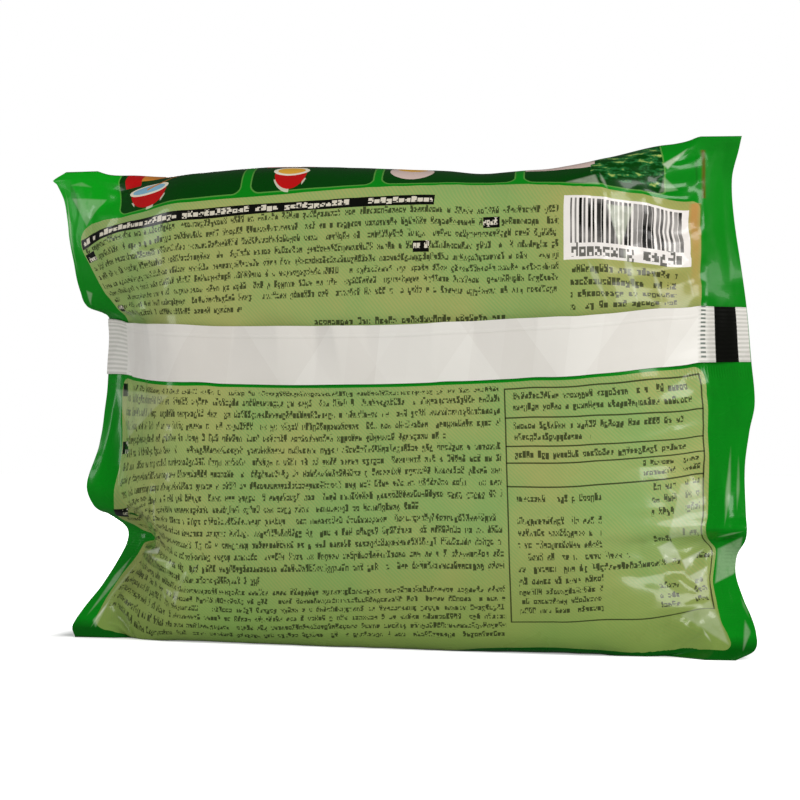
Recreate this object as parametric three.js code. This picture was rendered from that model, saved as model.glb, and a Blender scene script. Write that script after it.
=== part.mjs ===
// A shut pillow packet of instant noodles, standing on its long bottom side with its back to -Y.
// One film is wrapped round the flat block as a tube along X. Both ends are pressed flat and crimped,
// and the long seam on the back is folded up against it as a fin. Lengths are in millimetres.

import * as THREE from 'three';
import { mergeVertices } from 'three/addons/utils/BufferGeometryUtils.js';

// The block under the film
const halfThickness = 16.4;
const faceCrown = 0.8;
const straightHalfLength = 44;
const topRadius = 13;
const bottomRadius = 5.5;

// Heights on the film, measured along it from the root of the fin
const bottomFold = -73;
const topFold = 60;
const finHeight = 12.4;
const finLift = 0.9;
const finLiftInSeal = 0.3;
const finEdge = 0.35;
const footFold = [-64, -50];
const footRise = 0.6;

// The crimped end seals
const sealThickness = 0.8;

// Rows of facets along the film and over its height
const rows = { seal: 3, shoulder: 11, body: 22, lower: 18, fin: 4, upper: 13 };

// The outline along the top, as length and height, with a dip right of the middle
const topOutline = [
  [-84, 115.3], [-78, 116], [-71.3, 114], [-64, 113.5], [-56, 112.8], [-45, 112.8], [-30, 113.2],
  [-17.7, 112.8], [-5, 111.9], [6.8, 111], [17, 110.2], [25.8, 109.1], [35, 109.3], [42.9, 109.7],
  [49, 110.7], [53.8, 112.1], [58, 113], [62.5, 113.9], [66, 114.4], [69, 114.6], [72, 115.1],
  [75, 116], [84, 115.8],
];

// Each end seal from its bottom corner up: height on the film, z, then x and y of its cut edge
// and x and y of its inner line
const leftSeal = [
  [-73, 0, -75.8, -9, -66, -8], [-68.5, 2.8, -76.8, -8.5, -69.5, -7], [-62, 7, -75.7, -4, -67.5, -4.5],
  [-55, 12, -73.3, 0, -65, -2], [-48, 17.5, -71.4, 5, -63, 1.5], [-42, 22.5, -70.4, 8.5, -62.5, 4.5],
  [-37.5, 26, -70.9, 9.3, -62.5, 5.5], [-33.5, 29, -73.1, 5, -63.5, 2.5],
  [-29, 31.5, -74.9, -1, -65.5, -1], [-24.5, 36.5, -75.6, -3.6, -67, -3],
  [-15, 46.8, -74.2, 0.5, -66.8, -1], [0, 64.2, -74.8, 6, -67, 1.5], [12.4, 77.4, -75, 7, -67, 2],
  [15.6, 79.6, -74.5, 4, -67.6, 0.5], [17.6, 81.2, -78.1, 1, -69, -1], [23, 85, -79.2, -1, -70, -3],
  [30, 90.8, -80.1, -2, -71.5, -4], [38, 97.5, -81.3, -2.5, -73, -4.5],
  [50, 107.6, -83.6, -1, -74.6, -3],
  [55.6, 112.4, -85.9, -0.7, -75.4, -1.5], [56.4, 113.1, -87, -0.6, -75.4, -1.4],
  [60, 115.3, -83.6, 0, -74.6, -0.5],
];
const rightSeal = [
  [-73, 0, 83.4, -12, 77, -13], [-69, 2, 87.2, -9, 78.5, -10.5], [-64, 5.2, 87.1, -4.5, 78.8, -7.5],
  [-58, 8.8, 85.4, 0, 78.2, -4.5], [-52, 12.2, 83.5, 3, 77.4, -3], [-46, 17.4, 81.8, 3.5, 76.4, -2.5],
  [-41, 21.8, 82.2, 3, 76, -2], [-36.5, 25.2, 84.3, 0.5, 75.4, -0.5],
  [-33.5, 27.8, 85, -2.5, 75.8, -3.5], [-30, 31.2, 84.6, -0.5, 76.3, -2],
  [-22, 40.6, 84.3, 0, 76.4, -1.5], [-12.8, 49.6, 85.5, -1, 76.3, -1.5],
  [-7, 55.6, 86.8, -2, 77, -2], [0, 64.4, 86.2, -2, 76.6, -2], [12.4, 77, 84.9, 0.5, 76.2, -1],
  [22.5, 85.2, 83.5, 4.5, 76, 0], [36, 97.2, 81.7, 6, 75.6, 0], [47, 106.6, 81.4, 4, 75.4, 0],
  [54, 112.2, 83, 2, 75.2, 0], [60, 115.8, 84, 1, 75, 0],
];

// Creases in the film: which face, both ends as x and film height, how far out (or in) and how wide
const creases = [
  { face: -1, from: [-64, -37.5], to: [-36, -53], out: -2.6, width: 4 },
  { face: -1, from: [-66, -28], to: [-45, -35], out: 1.6, width: 4 },
  { face: -1, from: [-66, -49], to: [-44, -61], out: 1.6, width: 4 },
  { face: -1, from: [-70, 20], to: [-46, 27], out: -1.4, width: 4.5 },
  { face: -1, from: [-73, 44], to: [-52, 52], out: 1.5, width: 5 },
  { face: -1, from: [76, -33], to: [48, -27], out: 1.5, width: 4 },
  { face: -1, from: [76, -38.5], to: [52, -44], out: -1.9, width: 4 },
  { face: -1, from: [76, -50], to: [48, -62], out: 1.4, width: 4 },
  { face: -1, from: [73, 50], to: [46, 55], out: -1.5, width: 4.5 },
  { face: -1, from: [62, 50], to: [57, 15], out: 0.9, width: 4 },
  { face: 1, from: [-68, -38], to: [-38, -50], out: -2, width: 5 },
  { face: 1, from: [-68, 10], to: [-42, 18], out: 1.5, width: 5 },
  { face: 1, from: [-72, 44], to: [-46, 34], out: 1.2, width: 5 },
  { face: 1, from: [76, -28], to: [46, -38], out: -1.6, width: 5 },
  { face: 1, from: [76, 4], to: [50, -4], out: 1.2, width: 5 },
  { face: 1, from: [75, 40], to: [48, 30], out: -1.4, width: 5 },
];

const { lerp, clamp, smoothstep } = THREE.MathUtils;

// A smooth line through knots whose first number rises, read at one place of that number
function through(knots, place) {
  const last = knots.length - 1;
  let i = 0;
  while (i < last - 1 && place > knots[i + 1][0]) i += 1;
  const span = knots[i + 1][0] - knots[i][0];
  const t = clamp((place - knots[i][0]) / span, 0, 1);
  return knots[i].slice(1).map((value, k) => {
    const next = knots[i + 1][k + 1];
    const slopeAt = (j) => {
      const a = Math.max(j - 1, 0);
      const b = Math.min(j + 1, last);
      return (knots[b][k + 1] - knots[a][k + 1]) / (knots[b][0] - knots[a][0]);
    };
    const t2 = t * t;
    const t3 = t2 * t;
    return (2 * t3 - 3 * t2 + 1) * value + (t3 - 2 * t2 + t) * span * slopeAt(i)
      + (3 * t2 - 2 * t3) * next + (t3 - t2) * span * slopeAt(i + 1);
  });
}

// Half of the block's section, walked from the middle of its base out, up and in to its top
function blockSection(x, v) {
  const height = through(topOutline, x)[0];
  const half = halfThickness - faceCrown * (x / straightHalfLength) ** 2;
  const base = half - bottomRadius;
  const bottomArc = bottomRadius * Math.PI / 2;
  const face = height - bottomRadius - topRadius;
  const topArc = topRadius * Math.PI / 2;
  const whole = base + bottomArc + face + topArc + half - topRadius;
  let walked = (v - bottomFold) / (topFold - bottomFold) * whole;
  if (walked < base) {
    return { out: walked, z: 0, normalOut: 0, normalUp: -1 };
  }
  walked -= base;
  if (walked < bottomArc) {
    const turn = walked / bottomRadius;
    return {
      out: base + bottomRadius * Math.sin(turn),
      z: bottomRadius * (1 - Math.cos(turn)),
      normalOut: Math.sin(turn),
      normalUp: -Math.cos(turn),
    };
  }
  walked -= bottomArc;
  if (walked < face) {
    return { out: half, z: bottomRadius + walked, normalOut: 1, normalUp: 0 };
  }
  walked -= face;
  if (walked < topArc) {
    const turn = walked / topRadius;
    return {
      out: half - topRadius * (1 - Math.cos(turn)),
      z: height - topRadius * (1 - Math.sin(turn)),
      normalOut: Math.cos(turn),
      normalUp: Math.sin(turn),
    };
  }
  const inward = half - topRadius - (walked - topArc);
  return { out: Math.max(inward, 0), z: height, normalOut: 0, normalUp: 1 };
}

// The cut edge of a seal and its inner line at one film height, and how far up the packet that is
function sealLine(end, v) {
  const [z, outerX, outerY, innerX, innerY] = through(end < 0 ? leftSeal : rightSeal, v);
  const up = z / (end < 0 ? leftSeal : rightSeal).at(-1)[1];
  return {
    up,
    outer: new THREE.Vector3(outerX, outerY, z),
    inner: new THREE.Vector3(innerX, innerY, up * through(topOutline, innerX)[0]),
  };
}

// How far all creases of a face push the film out at one place
function creaseOut(face, x, v) {
  let total = 0;
  for (const crease of creases.filter((one) => one.face === face)) {
    const [x0, v0] = crease.from;
    const run = new THREE.Vector2(crease.to[0] - x0, crease.to[1] - v0);
    const here = new THREE.Vector2(x - x0, v - v0);
    const share = clamp(here.dot(run) / run.lengthSq(), 0, 1);
    const off = here.sub(run.multiplyScalar(share)).length() / crease.width;
    total += crease.out * (1 - share) * Math.exp(-off * off);
  }
  return total;
}

// The film leaves the block softly and meets the seal at an angle
function easeToSeal(share) {
  return share * share * (3 - share) / 2;
}

// How far the folded fin stands off the back
function finOut(face, v, lift) {
  return face < 0 && v > 0 && v < finHeight ? lift : 0;
}

// The film at one place: in the body share runs from left to right, and beyond it out to the edge
function filmPoint(zone, share, v, face) {
  const end = zone.end;
  if (zone.name === 'body') {
    const x = lerp(-straightHalfLength, straightHalfLength, share);
    const at = blockSection(x, v);
    const out = creaseOut(face, x, v) * at.normalOut + finOut(face, v, finLift);
    return new THREE.Vector3(x, face * (at.out + out), at.z);
  }
  const seal = sealLine(end, v);
  if (zone.name === 'seal') {
    const middle = seal.inner.clone().lerp(seal.outer, share);
    const thick = sealThickness / 2 + finOut(face, v, finLiftInSeal);
    const apart = thick * Math.min(1, (1 - share) * rows.seal);
    const folded = v <= bottomFold || v >= topFold;
    middle.y += folded ? 0 : face * apart;
    return middle;
  }
  const x = lerp(end * straightHalfLength, seal.inner.x, share);
  const at = blockSection(end * straightHalfLength, v);
  const height = through(topOutline, x)[0];
  const grow = height / through(topOutline, end * straightHalfLength)[0];
  const towardSeal = easeToSeal(share);
  const lift = finOut(face, v, lerp(finLift, finLiftInSeal, share));
  const out = creaseOut(face, x, v) * at.normalOut * (1 - towardSeal) + lift;
  const y = lerp(face * at.out, seal.inner.y, towardSeal) + face * (out + sealThickness / 2 * share);
  const late = footRise * (1 - smoothstep(v, ...footFold));
  const z = lerp(at.z * grow, seal.up * height, smoothstep(share, late, 1));
  const folded = v <= bottomFold || v >= topFold;
  return new THREE.Vector3(x, folded ? seal.inner.y * towardSeal : y, z);
}

// The stops along the film from the left edge to the right edge
function stopsAlong() {
  const stops = [];
  const add = (zone, count, from, to) => {
    for (let i = 0; i < count; i += 1) stops.push([zone, lerp(from, to, i / count)]);
  };
  add({ name: 'seal', end: -1 }, rows.seal, 1, 0);
  add({ name: 'shoulder', end: -1 }, rows.shoulder, 1, 0);
  add({ name: 'body', end: 0 }, rows.body, 0, 1);
  add({ name: 'shoulder', end: 1 }, rows.shoulder, 0, 1);
  add({ name: 'seal', end: 1 }, rows.seal, 0, 1);
  stops.push([{ name: 'seal', end: 1 }, 1]);
  return stops;
}

// The stops over the film's height, with a close pair at both edges of the fin
function stopsUp() {
  const stops = [];
  const add = (count, from, to) => {
    for (let i = 0; i <= count; i += 1) stops.push(lerp(from, to, i / count));
  };
  add(rows.lower, bottomFold, 0);
  add(rows.fin, finEdge, finHeight - finEdge);
  add(rows.upper, finHeight, topFold);
  return stops;
}

// The film is a tube: up its back, over the top fold and down its front. The origin lies on the ground
// under the middle of the packet.
function makePacket() {
  const along = stopsAlong();
  const up = stopsUp();
  const halfWay = up.length - 1;
  const around = halfWay * 2;
  const tube = new THREE.CylinderGeometry(1, 1, 1, around, along.length - 1, true);
  const position = tube.getAttribute('position');
  for (let row = 0; row < along.length; row += 1) {
    for (let column = 0; column <= around; column += 1) {
      const face = column <= halfWay ? -1 : 1;
      const v = up[column <= halfWay ? column : around - column];
      const point = filmPoint(...along[row], v, face);
      position.setXYZ(row * (around + 1) + column, point.x, point.y, point.z);
    }
  }
  tube.deleteAttribute('normal');
  tube.deleteAttribute('uv');
  const closed = mergeVertices(tube, 1e-3);
  closed.computeBoundingBox();
  const middle = closed.boundingBox.getCenter(new THREE.Vector3());
  closed.translate(-middle.x, -middle.y, -closed.boundingBox.min.z);
  closed.computeVertexNormals();
  return closed;
}

const film = new THREE.MeshStandardMaterial({ color: 0x2c9a35, roughness: 0.28, metalness: 0 });
const packet = new THREE.Mesh(makePacket(), film);
packet.name = 'noodle_packet';

const group = new THREE.Group();
group.add(packet);

export default group;
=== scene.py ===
import math

import bpy
import numpy as np
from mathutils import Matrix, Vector, noise


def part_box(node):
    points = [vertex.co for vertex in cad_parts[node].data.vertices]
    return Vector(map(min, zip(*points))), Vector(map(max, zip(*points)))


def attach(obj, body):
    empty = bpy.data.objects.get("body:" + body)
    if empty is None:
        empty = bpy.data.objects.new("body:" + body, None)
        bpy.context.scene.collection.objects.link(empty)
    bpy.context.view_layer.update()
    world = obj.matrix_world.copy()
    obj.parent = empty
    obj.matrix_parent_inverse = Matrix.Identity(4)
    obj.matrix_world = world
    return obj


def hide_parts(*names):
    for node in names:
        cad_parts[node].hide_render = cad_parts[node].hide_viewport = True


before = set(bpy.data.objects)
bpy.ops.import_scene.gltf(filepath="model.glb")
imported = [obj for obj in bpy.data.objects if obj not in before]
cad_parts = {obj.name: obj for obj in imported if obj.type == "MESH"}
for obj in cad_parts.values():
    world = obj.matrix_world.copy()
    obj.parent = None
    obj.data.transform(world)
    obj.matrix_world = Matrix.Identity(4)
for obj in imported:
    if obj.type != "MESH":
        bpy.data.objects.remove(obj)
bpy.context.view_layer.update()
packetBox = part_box("noodle_packet")
mm = 0.001

# the film's form, in millimetres: u runs along the film from its left edge, v up it from the root of the fin
film = {
    "halfThickness": 16.4, "faceCrown": 0.8, "straightHalf": 44.0, "topRadius": 13.0, "bottomRadius": 5.5,
    "bottomFold": -73.0, "topFold": 60.0, "sealWidth": 9.5, "sealThickness": 0.5,
    "leftShoulder": 31.0, "rightShoulder": 34.5, "footFold": (-50, -64), "footRise": 0.6,
    # where the film's own frame lies in the packet's box
    "leftTip": 87.01, "backReach": 17.3,
    # the outline along the top: x, z
    "topOutline": [
        (-84, 115.3), (-78, 116), (-71.3, 114), (-64, 113.5), (-56, 112.8), (-45, 112.8), (-30, 113.2),
        (-17.7, 112.8), (-5, 111.9), (6.8, 111), (17, 110.2), (25.8, 109.1), (35, 109.3), (42.9, 109.7),
        (49, 110.7), (53.8, 112.1), (58, 113), (62.5, 113.9), (66, 114.4), (69, 114.6), (72, 115.1),
        (75, 116), (84, 115.8)],
    # each end seal from its bottom corner up: v, z, then x and y of its cut edge and of its inner line
    "leftSeal": [
        (-73, 0, -75.8, -9, -66, -8), (-68.5, 2.8, -76.8, -8.5, -69.5, -7),
        (-62, 7, -75.7, -4, -67.5, -4.5), (-55, 12, -73.3, 0, -65, -2), (-48, 17.5, -71.4, 5, -63, 1.5),
        (-42, 22.5, -70.4, 8.5, -62.5, 4.5), (-37.5, 26, -70.9, 9.3, -62.5, 5.5),
        (-33.5, 29, -73.1, 5, -63.5, 2.5), (-29, 31.5, -74.9, -1, -65.5, -1),
        (-24.5, 36.5, -75.6, -3.6, -67, -3), (-15, 46.8, -74.2, 0.5, -66.8, -1),
        (0, 64.2, -74.8, 6, -67, 1.5), (12.4, 77.4, -75, 7, -67, 2), (15.6, 79.6, -74.5, 4, -67.6, 0.5),
        (17.6, 81.2, -78.1, 1, -69, -1), (23, 85, -79.2, -1, -70, -3), (30, 90.8, -80.1, -2, -71.5, -4),
        (38, 97.5, -81.3, -2.5, -73, -4.5), (50, 107.6, -83.6, -1, -74.6, -3),
        (55.6, 112.4, -85.9, -0.7, -75.4, -1.5), (56.4, 113.1, -87, -0.6, -75.4, -1.4),
        (60, 115.3, -83.6, 0, -74.6, -0.5)],
    "rightSeal": [
        (-73, 0, 83.4, -12, 77, -13), (-69, 2, 87.2, -9, 78.5, -10.5), (-64, 5.2, 87.1, -4.5, 78.8, -7.5),
        (-58, 8.8, 85.4, 0, 78.2, -4.5), (-52, 12.2, 83.5, 3, 77.4, -3),
        (-46, 17.4, 81.8, 3.5, 76.4, -2.5), (-41, 21.8, 82.2, 3, 76, -2),
        (-36.5, 25.2, 84.3, 0.5, 75.4, -0.5), (-33.5, 27.8, 85, -2.5, 75.8, -3.5),
        (-30, 31.2, 84.6, -0.5, 76.3, -2), (-22, 40.6, 84.3, 0, 76.4, -1.5),
        (-12.8, 49.6, 85.5, -1, 76.3, -1.5), (-7, 55.6, 86.8, -2, 77, -2), (0, 64.4, 86.2, -2, 76.6, -2),
        (12.4, 77, 84.9, 0.5, 76.2, -1), (22.5, 85.2, 83.5, 4.5, 76, 0), (36, 97.2, 81.7, 6, 75.6, 0),
        (47, 106.6, 81.4, 4, 75.4, 0), (54, 112.2, 83, 2, 75.2, 0), (60, 115.8, 84, 1, 75, 0)],
    # cells of the mesh along each seal, along the rest, up the back and down the front
    "sealCells": 18, "alongCells": 210, "backCells": 220, "frontCells": 170,
    # the share of the room between both faces that a valley may take, how near points are welded, and how
    # many times over the seal's width its faces part from the cut edge
    "valleyShare": 0.25, "weld": 0.02, "sealTaper": 4,
}
filmLength = 2 * (film["sealWidth"] + film["straightHalf"]) + film["leftShoulder"] + film["rightShoulder"]
bodyStart = film["sealWidth"] + film["leftShoulder"]


def ease(low, high, value):
    # a soft step from 0 at low to 1 at high
    share = np.clip((value - low) / (high - low), 0, 1)
    return share * share * (3 - 2 * share)


def through(knots, place):
    # a smooth line through knots whose first number rises, read at many places of that number
    knots = np.array(knots, float)
    at, values = knots[:, 0], knots[:, 1:]
    slopes = np.empty_like(values)
    slopes[1:-1] = (values[2:] - values[:-2]) / (at[2:] - at[:-2])[:, None]
    slopes[0] = (values[1] - values[0]) / (at[1] - at[0])
    slopes[-1] = (values[-1] - values[-2]) / (at[-1] - at[-2])
    place = np.atleast_1d(place)
    i = np.clip(np.searchsorted(at, place, side="right") - 1, 0, len(at) - 2)
    span = (at[i + 1] - at[i])[:, None]
    t = np.clip((place - at[i])[:, None] / span, 0, 1)
    return ((2 * t**3 - 3 * t**2 + 1) * values[i] + (t**3 - 2 * t**2 + t) * span * slopes[i]
            + (3 * t**2 - 2 * t**3) * values[i + 1] + (t**3 - t**2) * span * slopes[i + 1])


def topHeight(x):
    return through(film["topOutline"], x)[:, 0]


def blockSection(x, v):
    # half of the block's section, walked from the middle of its base out, up and in to the middle of its top
    height = topHeight(x)
    half = film["halfThickness"] - film["faceCrown"] * (x / film["straightHalf"]) ** 2
    low, top = film["bottomRadius"], film["topRadius"]
    quarter = math.pi / 2
    base = half - low
    face = height - low - top
    whole = base + low * quarter + face + top * quarter + half - top
    walked = (v - film["bottomFold"]) / (film["topFold"] - film["bottomFold"]) * whole
    afterArc = base + low * quarter
    afterFace = afterArc + face
    lowTurn = np.clip((walked - base) / low, 0, quarter)
    topTurn = np.clip((walked - afterFace) / top, 0, quarter)
    places = [walked < base, walked < afterArc, walked < afterFace, walked < afterFace + top * quarter]
    out = np.select(
        places, [walked, base + low * np.sin(lowTurn), half, half - top * (1 - np.cos(topTurn))],
        np.maximum(half - top - (walked - afterFace - top * quarter), 0))
    z = np.select(
        places[:3], [0 * x, low * (1 - np.cos(lowTurn)), low + walked - afterArc],
        height - top * (1 - np.sin(topTurn)))
    return out, z


def filmPlace(u, v, face):
    # where the smooth film lies: face is -1 on the back and 1 on the front
    seal, straight = film["sealWidth"], film["straightHalf"]
    end = np.where(u < bodyStart + straight, -1.0, 1.0)
    fromEdge = np.where(end < 0, u, filmLength - u)
    shoulder = np.where(end < 0, film["leftShoulder"], film["rightShoulder"])
    lines = np.where(end[:, None] < 0, through(film["leftSeal"], v), through(film["rightSeal"], v))
    cornerTop = np.where(end < 0, film["leftSeal"][-1][1], film["rightSeal"][-1][1])
    outer, inner = lines[:, [1, 2, 0]], lines[:, [3, 4, 0]]
    raised = inner[:, 2] / cornerTop
    inner[:, 2] = raised * topHeight(inner[:, 0])
    share = np.clip(1 - (fromEdge - seal) / shoulder, 0, 1)
    x = np.where(fromEdge > seal + shoulder, u - bodyStart - straight, end * straight)
    out, up = blockSection(x, v)
    blockEnd = x
    x = x + share * (inner[:, 0] - x)
    height = topHeight(x)
    grow = height / topHeight(blockEnd)
    toward = share**2 * (3 - share) / 2
    rise = ease(film["footRise"] * ease(*film["footFold"], v), 1, share)
    folded = (v <= film["bottomFold"]) | (v >= film["topFold"])
    thin = np.where(folded, 0, film["sealThickness"] / 2)
    y = face * out * (1 - toward) + inner[:, 1] * toward + face * thin * share
    z = up * grow * (1 - rise) + raised * height * rise
    # inside the seal both faces run side by side and meet at the cut edge
    into = np.clip(1 - fromEdge / seal, 0, 1)
    across = inner + (outer - inner) * into[:, None]
    across[:, 1] += face * thin * np.minimum(1, (1 - into) * film["sealTaper"])
    return np.where((fromEdge < seal)[:, None], across, np.stack([x, y, z], 1))


# creases: the packet's face, both ends as u and v, how far out (or in), how wide, how sharp from 0 to 1,
# and how much steeper its left side is, looking from its start to its end
creases = {
    "known": [
        (-1, (27, -25.4), (24.5, -34.5), 0.7, 2.5, 1, 0.75),
        (-1, (24.5, -34.5), (27, -25.4), 0.7, 2.5, 1, -0.75),
        (-1, (7, -43), (27, -42.2), 1.5, 2.2, 1, 0.6), (-1, (27, -42.5), (41.5, -44.6), 1.1, 2.2, 1, 0.6),
        (-1, (7, -39.6), (26, -39.8), -1.3, 1.6, 1, 0), (-1, (41.5, -44.6), (33, -54), 0.9, 2.4, 1, -0.6),
        (-1, (26, -45.5), (39, -50), -0.8, 1.8, 1, 0), (-1, (1.5, -33), (16, -36.8), 0.9, 1.6, 1, 0),
        (-1, (10, -57), (36, -61), 1.1, 4, 0.8, 0), (-1, (17, -28), (39, -35), 1.0, 4.5, 0.8, 0),
        (-1, (12, 20), (39, 27), -1.2, 4.5, 0.7, 0), (-1, (10, 44), (32, 52), 1.2, 5, 0.8, 0),
        (-1, (13, 18), (30, 15), 1.0, 2, 1, 0), (-1, (22, 16), (16, 34), 0.8, 2, 0.9, 0),
        (-1, (11, 1), (15, -18), 0.8, 1.8, 1, 0.5), (-1, (20.5, 1), (21, -22), -0.7, 2, 1, 0),
        (-1, (162, -36), (152, -37), 1.0, 1.6, 1, 0.5), (-1, (162, -38.5), (137, -44), -1.6, 4, 0.9, 0),
        (-1, (152, -37), (156, -41.5), 1.0, 1.5, 1, 0.5), (-1, (156, -41.5), (161.5, -42), 0.9, 1.4, 1, 0),
        (-1, (157, -46.4), (161.4, -52), 0.9, 1.5, 1, 0.4),
        (-1, (155.7, -57.5), (164.8, -68.3), 0.9, 1.6, 1, 0.5),
        (-1, (159, -59.7), (162, -66), 0.6, 1.2, 1, 0), (-1, (163, -50), (138, -60), 1.1, 4, 0.8, 0),
        (-1, (162.9, 59.8), (153.7, 49.9), 1.3, 2, 1, 0.6), (-1, (165, 54), (163.4, 41), -1.0, 1.1, 1, 0),
        (-1, (139.7, 44.9), (148.6, 13.4), 0.55, 1.8, 1, 0.5),
        (-1, (136, 42), (144, 14), 0.5, 1.6, 1, 0.4), (-1, (150, 41), (155, 13), 0.55, 1.6, 1, 0.5),
        (-1, (159.4, 26), (161.6, 12.4), 0.5, 1.3, 1, 0.5), (1, (14, -38), (46, -50), -2, 5, 0.7, 0),
        (1, (14, 10), (43, 18), 1.5, 5, 0.6, 0), (1, (11, 44), (38, 34), 1.2, 5, 0.6, 0),
        (1, (162, -28), (131, -38), -1.6, 5, 0.8, 0), (1, (162, 4), (135, -4), 1.2, 5, 0.6, 0),
        (1, (161, 40), (133, 30), -1.4, 5, 0.7, 0)],
    # fine pleats off the seals: where along the film and up it they start, how they lean and fan out
    "seed": 11, "pleatsPerEnd": 22, "pleatStart": (7.5, 13.5), "pleatRise": (-70, 58),
    "pleatReach": (6, 22), "pleatLean": 0.35, "pleatFan": 0.004, "pleatOut": (0.2, 0.6),
    "pleatWidth": (0.9, 2.6), "pleatSharp": (0.5, 1),
    # shallow dents on the faces
    "dents": 12, "dentAlong": (20, 150), "dentRise": (-60, 50), "dentReach": (14, 34),
    "dentOut": (0.08, 0.25), "dentWidth": (4, 9), "dentSharp": (0.1, 0.5),
    # soft rolls and the noodles under the film: how far out, their size along and up, their noise's layer
    "rolls": (0.35, 26, 17), "rollLayer": 3.7, "noodles": (0.08, 5.2, 4.4), "noodleLayers": (5.1, 9),
    # the film lies flatter under the fin, and is calm at the seals, the foot and the top fold
    "underFin": 0.35, "finBand": (-1.5, 1, 13, 15.5),
    "calmSeal": 4, "calmFoot": (-73, -64), "calmTop": (60, 52),
    # in widths of a crease: how far it can reach, how far its foot lies from its ridge, and how round the
    # ridge of a sharp and of a soft one is
    "reach": 1.6, "foot": 1.45, "ridge": (0.12, 0.5),
}


def addCrease(relief, u, v, face, side, start, stop, out, width, sharp, lean):
    # a ridge or valley that is highest at its start and dies away at its end
    reach = creases["reach"] * width * (1 + abs(lean))
    near = np.flatnonzero(
        (face == side) & (u > min(start[0], stop[0]) - reach) & (u < max(start[0], stop[0]) + reach)
        & (v > min(start[1], stop[1]) - reach) & (v < max(start[1], stop[1]) + reach))
    runU, runV = stop[0] - start[0], stop[1] - start[1]
    offU, offV = u[near] - start[0], v[near] - start[1]
    share = np.clip((offU * runU + offV * runV) / (runU**2 + runV**2), 0, 1)
    away = np.hypot(offU - runU * share, offV - runV * share)
    here = width * (1 - lean * np.sign(runU * offV - runV * offU))
    least, soft = creases["ridge"]
    rounding = width * (1 - sharp) * soft + least * width
    foot = creases["foot"] * here
    tent = np.clip(1 - (np.sqrt(away**2 + rounding**2) - rounding) / foot, 0, 1)
    relief[near] += out * (1 - share) * (tent * sharp + tent**2 * (3 - 2 * tent) * (1 - sharp))


def randomCreases():
    # fine pleats that leave both seals, and shallow dents on the faces
    draw = np.random.default_rng(creases["seed"])
    made = []
    for face in (-1, 1):
        for end in (-1, 1):
            for i in range(creases["pleatsPerEnd"]):
                v = draw.uniform(*creases["pleatRise"])
                start = draw.uniform(*creases["pleatStart"])
                reach = draw.uniform(*creases["pleatReach"])
                lean = reach * (draw.uniform(-1, 1) * creases["pleatLean"] - creases["pleatFan"] * v)
                out = draw.choice((-1, 1)) * draw.uniform(*creases["pleatOut"])
                ends = (start, v), (start + reach, v + lean)
                if end > 0:
                    ends = (filmLength - start, v), (filmLength - start - reach, v + lean)
                width = draw.uniform(*creases["pleatWidth"])
                made.append((face, *ends, out, width, draw.uniform(*creases["pleatSharp"]), 0))
        for i in range(creases["dents"]):
            middle = draw.uniform(*creases["dentAlong"]), draw.uniform(*creases["dentRise"])
            turn = draw.uniform(0, math.tau)
            reach = draw.uniform(*creases["dentReach"])
            stop = middle[0] + reach * math.cos(turn), middle[1] + reach * math.sin(turn)
            out = draw.choice((-1, 1)) * draw.uniform(*creases["dentOut"])
            width = draw.uniform(*creases["dentWidth"])
            made.append((face, middle, stop, out, width, draw.uniform(*creases["dentSharp"]), 0))
    return made


allCreases = creases["known"] + randomCreases()

# sheets of flat facets with sharp edges: seed, size of a facet along and up the film, and how far out
# they go in the ends and on the block
facets = {
    "sheets": [(21, 15, 8, 0.75, 0.1), (22, 8, 4.2, 0.34, 0.03)], "endReach": (50, 14), "frontShift": 150,
    # the seals' own sheet and soft ripple, and where both die away
    "sealSheet": (23, 3.6, 13, 0.32), "ripple": (0.6, 14, 6.5), "rippleLayer": 2.2,
    "rippleEnd": (12.5, 2), "rippleFoot": (-73, -66), "rippleTop": (60, 54),
}


def softNoise(u, v, layer, strength, sizeU, sizeV):
    # soft noise over the film, as strong and as large as told
    places = zip(u / sizeU, v / sizeV, layer)
    return strength * np.array([noise.noise(Vector(place)) for place in places])


def facetSheet(u, v, face, seed, sizeU, sizeV):
    # the gap between two bowls of flat facets is itself made of flat facets
    draw = np.random.default_rng(seed)
    here = np.stack([u / sizeU, (v + facets["frontShift"] * face) / sizeV], 1)
    low, high = here.min(axis=0) - 1, here.max(axis=0) + 1
    total = 0
    for sign in (1, -1):
        centres = draw.uniform(low, high, (int((high - low).prod()), 2))
        bowl = np.full(len(u), -1e9)
        for centre in centres:
            np.maximum(bowl, here @ (2 * centre) - centre @ centre, out=bowl)
        total = total + sign * bowl
    return total


def reliefAt(u, v, face):
    # how far the film stands out of its smooth form
    relief = np.zeros_like(u)
    for one in allCreases:
        addCrease(relief, u, v, face, *one)
    fromEdge = np.minimum(u, filmLength - u)
    atEnd = ease(*facets["endReach"], fromEdge)
    for seed, sizeU, sizeV, endOut, blockOut in facets["sheets"]:
        relief += facetSheet(u, v, face, seed, sizeU, sizeV) * (blockOut + (endOut - blockOut) * atEnd)
    relief += softNoise(u, v, face * creases["rollLayer"], *creases["rolls"])
    stretch, shift = creases["noodleLayers"]
    relief += softNoise(u, v, face * stretch + shift, *creases["noodles"])
    below, low, high, above = creases["finBand"]
    underFin = (face < 0) * ease(below, low, v) * (1 - ease(high, above, v))
    relief *= 1 - (1 - creases["underFin"]) * underFin
    seal, calm = film["sealWidth"], creases["calmSeal"]
    relief *= ease(seal - calm, seal + calm, fromEdge)
    return relief * ease(*creases["calmFoot"], v) * ease(*creases["calmTop"], v)


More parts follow.
